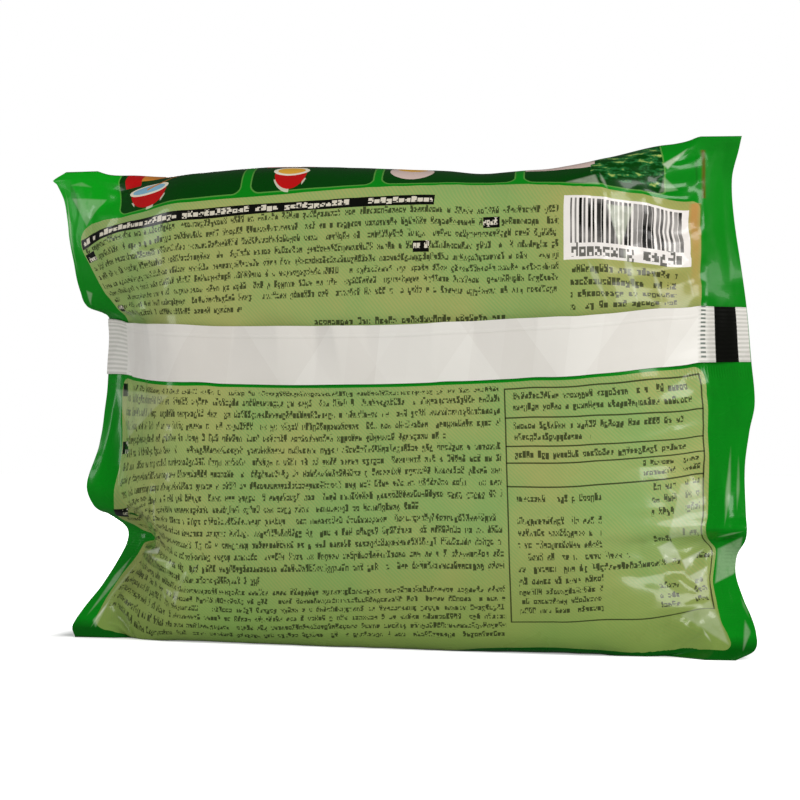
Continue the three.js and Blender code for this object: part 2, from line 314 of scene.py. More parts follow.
def sealRipple(u, v):
    # the flat seals ripple as one sheet
    fromEdge = np.minimum(u, filmLength - u)
    ripple = softNoise(u, v, np.full_like(u, facets["rippleLayer"]), *facets["ripple"])
    seed, sizeU, sizeV, out = facets["sealSheet"]
    ripple += out * facetSheet(u, v, 0 * u, seed, sizeU, sizeV)
    fade = ease(*facets["rippleFoot"], v) * ease(*facets["rippleTop"], v)
    return ripple * ease(*facets["rippleEnd"], fromEdge) * fade


def place(points):
    # film frame to the packet's own frame, in metres
    low = Vector(packetBox[0]) / mm
    shift = np.array([low.x + film["leftTip"], low.y + film["backReach"], 0])
    moved = points + shift
    moved[:, 2] = np.maximum(moved[:, 2], 0)
    return moved * mm


# how the flat print lies on the puckered film
printLines = {
    # level lines: the print's own height, then u and film height along it
    "levels": [
        (-73, [(0, -73), (172.5, -73)]),
        (-66, [(0, -70), (8, -70), (20, -71.5), (40, -69), (60, -65.5), (103, -60.5), (112, -59),
               (130, -58.6), (140, -59), (146, -59.6), (150, -60.6), (153, -62.3), (155, -65),
               (157, -67.2), (160, -68.9), (172.5, -69.4)]),
        (-62.4, [(0, -61.3), (10, -62), (15, -61.6), (20, -60.4), (30, -59), (57, -58.5), (80, -57),
                 (115, -55.8), (130, -55.9), (140, -56.3), (150, -58.6), (160, -59.6), (172.5, -59.6)]),
        (-47.8, [(0, -47), (8, -47.5), (20, -47.6), (30, -47), (42, -47.8), (57, -47.8), (80, -46.6),
                 (100, -45.4), (130, -44.8), (140, -45), (150, -46), (160, -46.6), (172.5, -46.6)]),
        (-43.9, [(0, -44.2), (7, -44.1), (16, -43.2), (24, -41.7), (25.5, -41.6), (33, -42.8),
                 (41, -44.4), (43, -44.3), (57, -43.9), (80, -42.7), (100, -41.5), (130, -41),
                 (150, -42.1), (172.5, -42.5)]),
        (-26.5, [(0, -28.5), (4, -29.5), (10, -29), (20, -27.5), (30, -26.9), (57, -26.5), (80, -25.5),
                 (100, -24.2), (115, -23.8), (130, -24.3), (150, -24.7), (162, -24), (172.5, -24)]),
        (-1, [(0, 0.4), (10, 0.8), (15, 0.3), (45, -0.2), (50, -0.7), (67, -1), (90, -0.2), (100, 0.4),
              (110, 1.4), (120, 1.7), (125, 1.9), (135, 1.2), (145, 0.4), (172.5, 0.4)]),
        (13, [(0, 14), (10, 14), (40, 13.4), (50, 12.9), (60, 12.8), (80, 13.2), (100, 14.3), (110, 15.2),
              (128, 15.4), (145, 13.8), (172.5, 13)]),
        (18.8, [(0, 17), (10, 18), (20, 18.6), (60, 18.8), (100, 21.2), (115, 21.5), (128, 21.3),
                (135, 20.6), (150, 18.4), (160, 17.5), (172.5, 17.5)]),
        (26.4, [(0, 22), (5, 24), (10, 25.4), (20, 26), (60, 26.4), (112, 29.1), (120, 29.1), (128, 28.7),
                (133, 28.6), (145, 27.2), (155, 25.8), (172.5, 25.4)]),
        (37.4, [(0, 33.5), (5, 35.6), (10, 37.9), (15, 39.3), (20, 39.4), (30, 37.8), (40, 37.4),
                (50, 37.2), (70, 38.1), (90, 39.6), (110, 40.6), (130, 39.9), (140, 38.4), (160, 36.3),
                (172.5, 36)]),
        (39.7, [(0, 36.5), (10, 40.5), (13, 41.7), (20, 41.9), (30, 40.4), (50, 39.6), (70, 40.2),
                (100, 42.8), (120, 43.4), (130, 42.2), (140, 40.6), (150, 39.7), (160, 38.7),
                (172.5, 38.5)]),
        (41.6, [(0, 38), (5, 41), (10, 43.3), (14, 44.3), (20, 43.6), (30, 42.5), (40, 41.8), (60, 41.6),
                (90, 44.8), (100, 45.8), (107, 46.8), (112, 46.9), (125, 45.8), (140, 42.8), (150, 41.8),
                (160, 40.8), (172.5, 40.5)]),
        (60, [(0, 60), (172.5, 60)])],
    # the panel's left and right edge: u in the print, then film height and u along them
    "edges": (5.4, 162.2),
    "leftEdge": [(-73, 9.5), (-66, 6.5), (-60, 5), (-55, 4.5), (-50, 4.8), (-42.4, 7.4), (-41.2, 8.4),
                 (-40.4, 12), (-38.8, 11), (-38, 7), (-36.5, 4.7), (-35, 2.5), (-33.5, 2.2), (-30, 5),
                 (-26, 7.5), (-22, 8.7), (-18, 9), (-5, 7.3), (0, 7.4), (14, 9.8), (18, 10), (22, 9),
                 (32, 5.5), (35, 4.4), (38, 4.2), (41, 4.5), (60, 4.5)],
    "rightEdge": [(-73, 167.6), (-68, 167.3), (-64.5, 165.8), (-59.5, 164.3), (-49, 164), (-43, 165.6),
                  (-39, 165.8), (-36, 163.8), (-30, 163.1), (-17, 163.3), (0, 162), (20, 161.8),
                  (39, 162.4), (60, 162.4)],
    # how much the rows lean sideways: below the fin over this stretch, and above this height to the front
    "leanBelow": 0.028, "leanAlong": (60, 118), "leanAbove": 0.13, "leanStart": 43, "leanEnd": (84, 62),
    # left of a crease the rows climb, and break off at it: where they start, the crease, the slope,
    # and the film heights over which this sets in and ends
    "tuck": (8, 25.6, 0.24, (-25.5, -29.5), (-40.2, -39.4)),
}


def printPlace(u, v, face):
    # the print's own coordinates: along the film, and up the back, over the top and down the front
    levels = printLines["levels"]
    # over the top fold the print's sideways lean runs on and dies away
    onFront = np.where(face < 0, 1, ease(*printLines["leanEnd"], 2 * film["topFold"] - v))
    frontV, v = v, np.where(face < 0, v, film["topFold"])
    heights = [through(line, u)[:, 0] for level, line in levels]
    up = np.full_like(u, levels[0][0])
    for i in range(len(levels) - 1):
        share = np.clip((v - heights[i]) / (heights[i + 1] - heights[i]), 0, 1)
        up += share * (levels[i + 1][0] - levels[i][0])
    seal = film["sealWidth"]
    left = ease(seal + film["leftShoulder"], seal, u)
    right = ease(filmLength - seal - film["rightShoulder"], filmLength - seal, u)
    along = u + (printLines["edges"][0] - through(printLines["leftEdge"], v)[:, 0]) * left
    along = along + (printLines["edges"][1] - through(printLines["rightEdge"], v)[:, 0]) * right
    below = printLines["leanBelow"] * np.minimum(v, 0)
    along = along + below * ease(*printLines["leanAlong"], u) * (1 - right)
    along = along + printLines["leanAbove"] * np.maximum(up - printLines["leanStart"], 0)
    first, crease, slope, starts, stops = printLines["tuck"]
    climbed = np.where(u < crease, slope * np.maximum(u - first, 0), 0)
    up = up - climbed * ease(*starts, v) * ease(*stops, v)
    return u + (along - u) * onFront, np.where(face < 0, up, 2 * film["topFold"] - frontV)


def wrapGrid(name, columns, rows, points, along, up):
    # a grid primitive with its corners at the points told, and a map of the film in metres; it stays in
    # edit mode, with everything selected
    bpy.ops.object.select_all(action="DESELECT")
    bpy.ops.mesh.primitive_grid_add(
        x_subdivisions=columns - 1, y_subdivisions=rows - 1, size=2, location=(0, 0, 0))
    piece = bpy.context.object
    piece.name = name
    corners = np.empty(len(piece.data.vertices) * 3)
    piece.data.vertices.foreach_get("co", corners)
    corners = corners.reshape(-1, 3)
    column = np.rint((corners[:, 0] + 1) / 2 * (columns - 1)).astype(int)
    row = np.rint((corners[:, 1] + 1) / 2 * (rows - 1)).astype(int)
    which = column * rows + row
    piece.data.vertices.foreach_set("co", place(points[which]).ravel())
    layer = piece.data.uv_layers[0]
    layer.name = "filmMap"
    corner = np.empty(len(piece.data.loops), int)
    piece.data.loops.foreach_get("vertex_index", corner)
    layer.data.foreach_set("uv", (np.stack([along, up], 1)[which[corner]] * mm).ravel())
    bpy.ops.object.mode_set(mode="EDIT")
    bpy.ops.mesh.select_all(action="SELECT")
    return piece


def outward(points, columns, rows):
    # the normal of a grid of points, by its neighbours
    grid = points.reshape(columns, rows, 3)
    alongWay = np.gradient(grid, axis=0)
    upWay = np.gradient(grid, axis=1)
    normal = np.cross(alongWay, upWay)
    normal /= np.maximum(np.linalg.norm(normal, axis=2, keepdims=True), 1e-9)
    return normal.reshape(-1, 3)


def makeFilm():
    seal = np.linspace(0, film["sealWidth"], film["sealCells"], endpoint=False)
    rest = np.linspace(film["sealWidth"], filmLength - film["sealWidth"], film["alongCells"])
    alongStops = np.concatenate([seal, rest, filmLength - seal[::-1]])
    back = np.linspace(film["bottomFold"], film["topFold"], film["backCells"], endpoint=False)
    front = np.linspace(film["topFold"], film["bottomFold"], film["frontCells"] + 1)
    upStops = np.concatenate([back, front])
    faces = np.concatenate([-np.ones(len(back)), np.ones(len(front))])
    u = np.repeat(alongStops, len(upStops))
    v = np.tile(upStops, len(alongStops))
    face = np.tile(faces, len(alongStops))
    smooth = filmPlace(u, v, face)
    normal = outward(smooth, len(alongStops), len(upStops))
    relief = reliefAt(u, v, face)
    # both faces' valleys together stay well within the room between them
    room = np.linalg.norm(smooth - filmPlace(u, v, -face), axis=1)
    relief = np.maximum(relief, -film["valleyShare"] * room)
    points = smooth + normal * relief[:, None]
    points[:, 1] += sealRipple(u, v)
    # the seam under the packet keeps the front's own coordinates on the front's side
    piece = wrapGrid("pack_film", len(alongStops), len(upStops), points, *printPlace(u, v, face))
    bpy.ops.mesh.remove_doubles(threshold=film["weld"] * mm)
    bpy.ops.mesh.normals_make_consistent(inside=False)
    bpy.ops.object.mode_set(mode="OBJECT")
    bpy.ops.object.shade_smooth()
    print("film:", len(piece.data.polygons), "faces")
    return piece


# the fin seal, folded up against the back: u, then v of its root and of its free edge
fin = {
    "line": [
        (0, 0.4, 14.2), (5, 0.7, 14.3), (10, 0.8, 13.8), (15, 0.3, 13.6), (30, 0.1, 13.5), (40, 0, 13.2),
        (45, -0.2, 12.7), (50, -0.7, 12.3), (60, -1, 12), (70, -1, 12.1), (80, -0.6, 12.4),
        (90, -0.2, 12.8), (100, 0.4, 13.4), (105, 1, 14.1), (110, 1.4, 14.6), (115, 1.6, 14.8),
        (120, 1.7, 14.9), (125, 1.9, 14.9), (130, 1.6, 14.8), (135, 1.2, 14.2), (140, 0.7, 13.6),
        (145, 0.4, 13.3), (152, 0.3, 13.1), (160, 0.3, 12.8), (172.5, 0.4, 12.5)],
    "height": 12.7, "thickness": 0.22,
    # how far it stands off the back at its root and at its free edge, how far it stops short of the film's
    # ends, and where it comes loose from the seals
    "rootGap": 0.12, "edgeGap": 0.3, "endGap": 0.15, "loose": (7.5, 17.5),
    # upright facets: their widths, how far their knots lean, how far out they go, and where they begin
    "seed": 5, "knots": 40, "facet": (4, 13), "facetLean": (-3, 3), "facetOut": 1.8, "firstKnot": -15,
    "cells": (300, 26), "smoothAngle": 40,
}


def makeFin():
    columns, rows = fin["cells"]
    u = np.repeat(np.linspace(fin["endGap"], filmLength - fin["endGap"], columns), rows)
    share = np.tile(np.linspace(0, 1, rows), columns)
    ends = through(fin["line"], u)
    v = ends[:, 0] + (ends[:, 1] - ends[:, 0]) * share
    face = -np.ones(len(u))
    smooth = filmPlace(u, v, face)
    normal = outward(smooth, columns, rows)
    # soft upright facets: straight stretches between random knots, leaning a little
    draw = np.random.default_rng(fin["seed"])
    knots = np.cumsum(draw.uniform(*fin["facet"], fin["knots"])) + fin["firstKnot"]
    heights = draw.uniform(0, 1, fin["knots"])
    lean = draw.uniform(*fin["facetLean"], fin["knots"])
    bulge = np.interp(u + np.interp(u, knots, lean) * share, knots, heights)
    fromEdge = np.minimum(u, filmLength - u)
    loose = ease(*fin["loose"], fromEdge)
    gap = fin["rootGap"] + share * loose * (fin["edgeGap"] + fin["facetOut"] * bulge)
    points = smooth + normal * (reliefAt(u, v, face) + gap)[:, None]
    points[:, 1] += sealRipple(u, v)
    piece = wrapGrid("back_fin", *fin["cells"], points, u, share * fin["height"])
    bpy.ops.mesh.normals_make_consistent(inside=False)
    bpy.ops.object.mode_set(mode="OBJECT")
    thick = piece.modifiers.new("thickness", "SOLIDIFY")
    thick.thickness = fin["thickness"] * mm
    thick.offset = 1
    bpy.ops.object.modifier_apply(modifier=thick.name)
    bpy.ops.object.shade_smooth_by_angle(angle=math.radians(fin["smoothAngle"]))
    print("fin:", len(piece.data.polygons), "faces")
    return piece


class Term:
    # an output socket that takes part in Python expressions: each operator adds a Math node
    def __init__(self, finish, socket):
        self.finish = finish
        self.socket = socket

    def math(self, operation, *others, clamp=False):
        values = dict(enumerate((self, *others)))
        return self.finish.node("Math", {"operation": operation, "use_clamp": clamp}, values)

    def vector(self, operation, *others, out=0):
        values = dict(enumerate((self, *others)))
        return self.finish.node("VectorMath", {"operation": operation}, values, out)

    def above(self, edge):
        return self.math("GREATER_THAN", edge)

    def below(self, edge):
        return self.math("LESS_THAN", edge)

    def absolute(self):
        return self.math("ABSOLUTE")

    def whole(self):
        return self.math("FLOOR")

    def __add__(self, other):
        return self.math("ADD", other)

    def __sub__(self, other):
        return self.math("SUBTRACT", other)

    def __mul__(self, other):
        return self.math("MULTIPLY", other)

    def __rsub__(self, other):
        return self.math("MULTIPLY_ADD", -1, other)

    __radd__ = __add__
    __rmul__ = __mul__


class Nodes:
    # a node tree, whose nodes are all made by one method
    def __init__(self, tree):
        self.tree = tree

    def node(self, kind, settings, values, out=0):
        made = self.tree.nodes.new("ShaderNode" + kind)
        for name, value in settings.items():
            setattr(made, name, value)
        for key, value in values.items():
            if isinstance(value, Term):
                self.tree.links.new(value.socket, made.inputs[key])
            else:
                made.inputs[key].default_value = value
        return Term(self, made.outputs[out])


class Finish(Nodes):
    # one material with a Principled shader
    def __init__(self, name, **constants):
        self.material = bpy.data.materials.new(name)
        self.material.use_nodes = True
        super().__init__(self.material.node_tree)
        self.shader = self.tree.nodes["Principled BSDF"]
        for socket, value in constants.items():
            self.shader.inputs[socket.replace("_", " ")].default_value = value

    def feed(self, socket, term):
        self.tree.links.new(term.socket, self.shader.inputs[socket])

    def mix(self, factor, first, second):
        return self.node("Mix", {"data_type": "RGBA"}, {0: factor, 6: first, 7: second}, out=2)

    def grain(self, vector, scale, detail=2.0, rough=0.5):
        values = {"Vector": vector, "Scale": scale, "Detail": detail, "Roughness": rough}
        return self.node("TexNoise", {}, values)

    def dice(self, across, down, out="Value"):
        # a random number, or three as a colour, for each pair of whole numbers
        pair = self.node("CombineXYZ", {}, {0: across, 1: down})
        return self.node("TexWhiteNoise", {"noise_dimensions": "2D"}, {"Vector": pair}, out)

    def filmMap(self):
        # the place on the film in millimetres, whole and as its two parts
        metres = self.node("UVMap", {"uv_map": "filmMap"}, {})
        at = metres.vector("MULTIPLY", (1 / mm, 1 / mm, 0))
        parts = self.node("SeparateXYZ", {}, {0: at})
        return at, parts, Term(self, parts.socket.node.outputs[1])


def paint(red, green, blue):
    # a colour as it is seen, 0 to 255, to the linear values that the shader takes: the inks, and the painted
    # light and shade
    seen = [channel / 255 for channel in (red, green, blue)]
    return [c / 12.92 if c < 0.04045 else ((c + 0.055) / 1.055) ** 2.4 for c in seen] + [1]


def rising(value, edge, soft):
    return value.math("MULTIPLY_ADD", 1 / soft, 0.5 - edge / soft, clamp=True)


def falling(value, edge, soft):
    return value.math("MULTIPLY_ADD", -1 / soft, 0.5 + edge / soft, clamp=True)


def within(value, low, high):
    return value.math("COMPARE", (low + high) / 2, (high - low) / 2)


def box(u, v, left, right, low, high):
    return within(u, left, right) * within(v, low, high)


def roundBox(at, left, right, low, high, corner):
    # a filled box with round corners
    middle = (left + right) / 2, (low + high) / 2, 0
    inner = (right - left) / 2 - corner, (high - low) / 2 - corner, 0
    over = at.vector("SUBTRACT", middle).vector("ABSOLUTE").vector("SUBTRACT", inner)
    over = over.vector("MAXIMUM", (0, 0, 0))
    return over.vector("LENGTH", out="Value").below(corner)


def fromMiddle(at, middleU, middleV, halfWide, halfHigh):
    # 1 on the oval's rim, less inside
    narrow = 1 / halfWide, 1 / halfHigh, 0
    shift = -middleU / halfWide, -middleV / halfHigh, 0
    return at.vector("MULTIPLY_ADD", narrow, shift).vector("LENGTH", out="Value")


def oval(at, middleU, middleV, halfWide, halfHigh):
    return fromMiddle(at, middleU, middleV, halfWide, halfHigh).below(1)


# the print's fields in millimetres of film, as left, right, low and high
pack = {
    "upperPanel": (5.4, 162.2, -8, 41.6), "lowerPanel": (5.4, 162.2, -66, -1.75), "panelCorner": 2.2,
    "header": (5.6, 101.4, 37.4, 39.7), "black": (164.8, 169.8),
    "table": (117.6, 161.3, -57.8, -3.1), "rules": (-9.7, -16, -19.7, -24.9),
    "codePlate": (131.4, 159.8, 25, 39.6), "codeBars": (133, 158.4, 28.7, 39), "barPitch": 1.02,
    "steps": ((19.4, 53.9), (56.7, 86.1), (88.4, 119.2), (121.6, 154.6)), "stepLow": 42.7, "stepHigh": 71,
    # how far over the top fold the back's print ends
    "frontFrom": 73,
    # small print by the pitch of its rows, the width of a letter's place and its weight: left, right, top
    # and rows of each block
    "smallPrint": {
        (2.1, 1.45, 0.8): [(6.4, 101, 39.6, 1)],
        (2.515, 0.86, 0.6): [(6.4, 130.2, 37.6, 8), (6.4, 55, 17.4, 1)],
        (2.3, 1.05, 0.68): [(72, 118, 14.2, 1)],
        (2.75, 1.05, 0.74): [(133, 157, 24.2, 4)],
        (5, 1.8, 0.6): [(132.6, 157.8, 29.3, 1)],
        (1.8, 0.86, 0.5): [(12, 116.4, -2.3, 1)],
        (2.66, 0.86, 0.6): [(7.6, 116.6, -4, 3), (7.6, 104, -12, 1), (7.6, 116.6, -14.65, 5),
            (7.6, 97.5, -27.95, 1), (7.6, 116.6, -30.6, 5), (7.6, 59.5, -43.9, 1), (7.6, 116.6, -46.6, 6)],
        (2.4, 0.86, 0.74): [(119.6, 159, -3.9, 2)],
        (2.45, 0.86, 0.74): [(119.6, 157, -10.4, 1), (119.6, 137, -12.85, 1)],
        (2.5, 0.86, 0.74): [(119.6, 157.5, -16.7, 1)],
        (2.1, 0.86, 0.7): [(148.2, 155.2, -20.1, 2), (156.8, 160.4, -20.1, 2)],
        (2.6, 0.86, 0.64): [(119.8, 139, -26.3, 1)],
        (2.72, 0.86, 0.64): [(119.8, 139, -31.3, 3), (121.5, 144, -39.5, 1), (119.8, 150, -42.2, 1),
            (119.8, 138.5, -44.9, 4)],
        (2.35, 0.86, 0.62): [(149.8, 155.2, -25.2, 3)],
        (2.6, 0.86, 0.62): [(150.4, 154.2, -36, 1), (150.4, 154.2, -42.1, 1), (157, 160.4, -34.6, 1),
            (157.4, 160.4, -41, 1)],
        (2.7, 0.86, 0.62): [(150.4, 154.4, -47.6, 3), (157.6, 160.4, -46.6, 3)],
        (2.3, 0.86, 0.62): [(157.2, 160.4, -25, 3)],
    },
    # black tags where a paragraph starts: their middle and half their height, and half the width of all
    "tags": [
        (7.6, 34.6, 1.2), (114.8, 33.8, 1.2), (8, 18.2, 1.2), (98.5, 28.6, 1.2), (7.6, -3.9, 1.2),
        (7.6, -14.6, 1.2), (7.1, -28.8, 2.3)],
    "tagHalf": 1.9,
}
# its colours as they are seen: the inks, and the colours of the painted highlights, painted shade and painted
# light on the back
inkAndPaintedLight = {name: paint(*seen) for name, seen in {
    "green": (0, 150, 24), "greenCalm": (0, 128, 12), "greenBright": (0, 172, 22), "greenDark": (0, 98, 8),
    "greenDeep": (0, 68, 5), "leaf": (30, 110, 50), "leafPale": (150, 180, 90), "leafLight": (215, 205, 120),
    "panelGreen": (142, 178, 102), "panelOlive": (176, 180, 106), "panelPale": (190, 205, 130),
    "panelDry": (176, 160, 84), "panelLow": (118, 150, 66), "text": (34, 38, 18), "bar": (14, 15, 10),
    "plate": (250, 244, 238), "red": (200, 10, 12), "cream": (244, 236, 214), "water": (140, 190, 215),
    "noodle": (238, 178, 58), "noodleDark": (196, 128, 26), "noodleLight": (250, 214, 104),
    "spoon": (222, 140, 50), "carrot": (235, 110, 20), "carrotLight": (250, 160, 70), "pink": (225, 200, 190),
    "fin": (248, 245, 238), "finGrey": (232, 227, 219), "finRib": (170, 172, 160), "finTick": (70, 90, 80),
    "creaseBrown": (110, 72, 6), "apricot": (214, 134, 70), "gold": (214, 170, 60), "sweep": (150, 196, 70),
    "shine": (226, 234, 208), "shade": (16, 44, 8),
}.items()}


# how the specks fill a letter's place, in shares of it counted from its top and left: the body of every
# letter, how many are taller or hang lower and by how much, specks across and down, stretches set bold
# (their length, odds and added weight), how many places are empty, and how wide a letter is
letters = {
    "body": (0.3, 0.74), "tall": (0.3, 0.2), "hanging": (0.12, 0.14), "specks": (3, 7),
    "bold": (0.07, 0.34, 0.12), "wordGap": 0.16, "width": (0.04, 0.9),
    # numbers that set the random draws of the rows, of their start and of the bold stretches apart
    "rowKey": 3.7, "startKey": 0.37, "boldKey": 97,
}


class Layers:
    # a colour that layers are laid over, each by its mask: print, and on the back also painted light and
    # shade
    def __init__(self, finish, ground):
        self.finish = finish
        self.colour = ground

    def lay(self, mask, tone):
        tone = inkAndPaintedLight[tone] if isinstance(tone, str) else tone
        self.colour = self.finish.mix(mask, self.colour, tone)


def smallPrint(finish, u, v):
    # print too small to read: each letter's place holds a few random specks, with gaps between words
    sizes = finish.node("CombineXYZ", {}, {})
    weight = None
    blocks = [(*where, *kind) for kind, wheres in pack["smallPrint"].items() for where in wheres]
    for left, right, top, rows, pitch, letter, strength in blocks:
        here = box(u, v, left, right, top - rows * pitch, top)
        sizes = here.vector("MULTIPLY_ADD", (top / pitch, 1 / pitch, 1 / letter), sizes)
        weight = here * strength if weight is None else here.math("MULTIPLY_ADD", strength, weight)
    tops = finish.node("SeparateXYZ", {}, {0: sizes})
    perRow = Term(finish, tops.socket.node.outputs[1])
    perLetter = Term(finish, tops.socket.node.outputs[2])
    rowAt = tops - v * perRow
    row = rowAt.whole()
    inRow = rowAt.math("FRACT")
    # every row of every block has its own number
    key = row + tops * letters["rowKey"]
    slotAt = u.math("MULTIPLY_ADD", perLetter, key * letters["startKey"])
    slot = slotAt.whole()
    inSlot = slotAt.math("FRACT")
    draws = finish.node("SeparateColor", {}, {0: finish.dice(slot, key, "Color")})
    tall = Term(finish, draws.socket.node.outputs[1])
    top, foot = letters["body"]
    odds, more = letters["tall"]
    upper = tall.above(1 - odds).math("MULTIPLY_ADD", -more, top)
    odds, more = letters["hanging"]
    lower = tall.below(odds).math("MULTIPLY_ADD", more, foot)
    body = inRow.above(upper) * inRow.below(lower)
    columns, rows = letters["specks"]
    speck = finish.dice((slotAt * columns).whole(), (rowAt * rows).whole() + key)
    # some stretches of a row are set bold
    share, odds, more = letters["bold"]
    stretch = finish.dice((slot * share).whole(), key + letters["boldKey"]).above(1 - odds)
    marks = speck.below(stretch.math("MULTIPLY_ADD", more, weight))
    return marks * body * draws.above(letters["wordGap"]) * within(inSlot, *letters["width"])


# how the back's tones change: place and width of the change in millimetres, and the strength of each tone
tones = {
    # the ground: its grain, painted shade that darkens it at the foot, and painted light that brightens it at
    # the top left
    "ground": 30, "foot": (-65, 1.5), "footShare": 0.75, "brightUp": (40, 14), "brightAlong": (24, 10),
    # the line round a step's dark box, and the round corners of both
    "boxLine": 0.35, "boxLineShare": 0.2, "boxCorner": 2.2, "lineCorner": 2.5,
    # the panel: its fine stripes and slow drift, and where the two tones meet
    "stripePitch": 0.92, "stripeShare": 0.11, "drift": 42, "split": (0.51, 0.35), "upperFrom": 4,
    # a drier tone towards the right top, and painted shade that darkens the panel towards its foot
    "dryAlong": (140, 50), "dryUp": (8, 20), "dryShare": 0.6, "low": (-50, 30), "lowShare": 0.8,
    # the dark brown crease line, partly print and partly painted crease shade, and the warm edge at the
    # panel's right side
    "creaseBrownAt": 163.1, "creaseBrown": (0.5, 0.7), "creaseBrownUp": (42.2, 55), "creaseBrownShare": 0.75,
    "apricotAt": 161, "apricot": (1, 1), "apricotUp": (27, 22), "apricotBelow": 41, "apricotShare": 0.6,
    # bars: how much their width varies above the least, and how worn their ink is
    "bars": (0.55, 0.36), "barWear": (0.5, 0.7), "barGrain": 150, "barPatches": (1.2, 0.35),
    "rule": 0.34, "ruleShare": 0.86, "printShare": 0.85,
}


def paintBack(finish, at, u, v, surface):
    # everything printed on the back, over a green ground, with painted shade and painted light on the ground
    # and the panel
    layers = Layers(finish, inkAndPaintedLight["green"])
    layers.lay(finish.grain(surface, tones["ground"]), "greenCalm")
    # painted shade at the foot, and painted light at the top left
    layers.lay(falling(v, *tones["foot"]) * tones["footShare"], "greenDeep")
    bright = rising(v, *tones["brightUp"]) * falling(u, *tones["brightAlong"])
    layers.lay(bright, "greenBright")
    # the four pictured steps along the top edge, each a dark box with a thin light line round it
    low, high, thin = pack["stepLow"], pack["stepHigh"], tones["boxLine"]
    for left, right in pack["steps"]:
        line = roundBox(at, left - thin, right + thin, low - thin, high + thin, tones["lineCorner"])
        layers.lay(line * tones["boxLineShare"], "panelPale")
        field = roundBox(at, left, right, low, high, tones["boxCorner"])
        layers.lay(field, "greenDeep")
    paintSteps(layers, at, u, v)
    # the olive panel, in two parts, with fine slanting lines
    stripe = ((u + v) * (math.tau / tones["stripePitch"])).math("SINE")
    drift = stripe.math("MULTIPLY_ADD", tones["stripeShare"], finish.grain(surface, tones["drift"], 3))
    tone = finish.mix(rising(drift, *tones["split"]), inkAndPaintedLight["panelGreen"], inkAndPaintedLight["panelOlive"])
    dry = rising(u, *tones["dryAlong"]) * rising(v, *tones["dryUp"]) * tones["dryShare"]
    tone = finish.mix(dry, tone, inkAndPaintedLight["panelDry"])
    # painted shade: the panel darker towards its foot
    tone = finish.mix(falling(v, *tones["low"]) * tones["lowShare"], tone, inkAndPaintedLight["panelLow"])
    corner = pack["panelCorner"]
    field = roundBox(at, *pack["upperPanel"], corner) * v.above(tones["upperFrom"])
    field = field + roundBox(at, *pack["lowerPanel"], corner)
    layers.lay(field, tone)
    # a thin dark brown line down the crease beside the panel's right edge, partly print and partly painted
    # crease shade, and a warm edge below it
    upright = u - (v - printLines["leanStart"]) * printLines["leanAbove"]
    beside = falling((upright - tones["creaseBrownAt"]).absolute(), *tones["creaseBrown"])
    beside = beside * within(v, *tones["creaseBrownUp"])
    layers.lay(beside * tones["creaseBrownShare"], "creaseBrown")
    glow = falling((u - tones["apricotAt"]).absolute(), *tones["apricot"])
    glow = glow * rising(v, *tones["apricotUp"]) * v.below(tones["apricotBelow"])
    layers.lay(glow * tones["apricotShare"], "apricot")
    # black fields, whose letters are light, and the white plate
    light = box(u, v, *pack["header"])
    layers.lay(light, "bar")
    layers.lay(box(u, v, *pack["codePlate"]), "plate")
    halfU = pack["tagHalf"]
    for tagU, tagV, halfV in pack["tags"]:
        tag = box(u, v, tagU - halfU, tagU + halfU, tagV - halfV, tagV + halfV)
        layers.lay(tag, "bar")
        light = light + tag
    # upright bars on the white plate
    left, right, low, high = pack["codeBars"]
    barAt = (u - left) * (1 / pack["barPitch"])
    which = barAt.whole()
    wide = finish.dice(which, 5.0).math("MULTIPLY_ADD", *tones["bars"])
    bars = barAt.math("FRACT").below(wide) * box(u, v, left, right, low, high)
    patchy = finish.dice(which, 9.0).math("MULTIPLY_ADD", *tones["barWear"], clamp=True)
    patches = finish.grain(surface, tones["barGrain"]).math("MULTIPLY_ADD", *tones["barPatches"], clamp=True)
    patchy = patchy * patches
    layers.lay(bars * patchy, "bar")
    # the ruled table
    left, right, low, high = pack["table"]
    thick = tones["rule"]
    inside = box(u, v, left + thick, right - thick, low + thick, high - thick)
    lines = box(u, v, left, right, low, high) - inside
    for rule in pack["rules"]:
        lines = lines + box(u, v, left, right, rule - thick / 2, rule + thick / 2)
    layers.lay(lines * tones["ruleShare"], "text")
    marks = smallPrint(finish, u, v) * tones["printShare"]
    layers.lay(marks, finish.mix(light, inkAndPaintedLight["text"], inkAndPaintedLight["cream"]))
    return layers.colour


# the plain pictures in the steps, in millimetres of film
pictures = {
    # pans: middle, half width and what is in them, then heights above their low edge and half heights
    "pans": ((28.2, 5.2, "water"), (66, 3.9, "noodle")), "panLow": 43.2, "panUp": 5.2, "panHalf": 5.4,
    "panTop": 6.2, "rimUp": 6.6, "rimHalf": (2.3, 1.6), "rimWide": 0.5,
    # flames round their foot
    "flameUp": 5, "flameHalf": 6.1, "flameWide": 0.3, "flameTop": 3, "flameOdds": 0.6, "flameShare": 0.7,
    # the spoon: both ends along the film, a point on its line, its slope and half its thickness
    "spoon": (27.9, 36), "spoonPoint": (27.6, 49.4), "spoonSlope": 0.55, "spoonHalf": 0.45,
    # plain blocks of colour, and the ovals of a bowl with noodles
    "blocks": (
        (21, 25.5, 53.2, 66, "red"), (25.5, 35, 55.6, 66, "spoon"), (59, 71, 53, 64, "red"),
        (121.7, 138.5, 49.5, 66, "pink")),
    "bowl": ((95, 50, 5.2, 5.4, "pink"), (95, 52, 3.6, 2, "noodle")),
    # greens: their field, how fine they are, how flat, and the tones from dark to light with their edges
    "greens": (137.5, 154.6, 44.2, 66, 2.5), "leafScale": 0.28, "leafFlat": 1.9,
    "leafTones": (("leaf", 0.5, 0.06), ("leafPale", 0.6, 0.05), ("leafLight", 0.68, 0.04)),
}


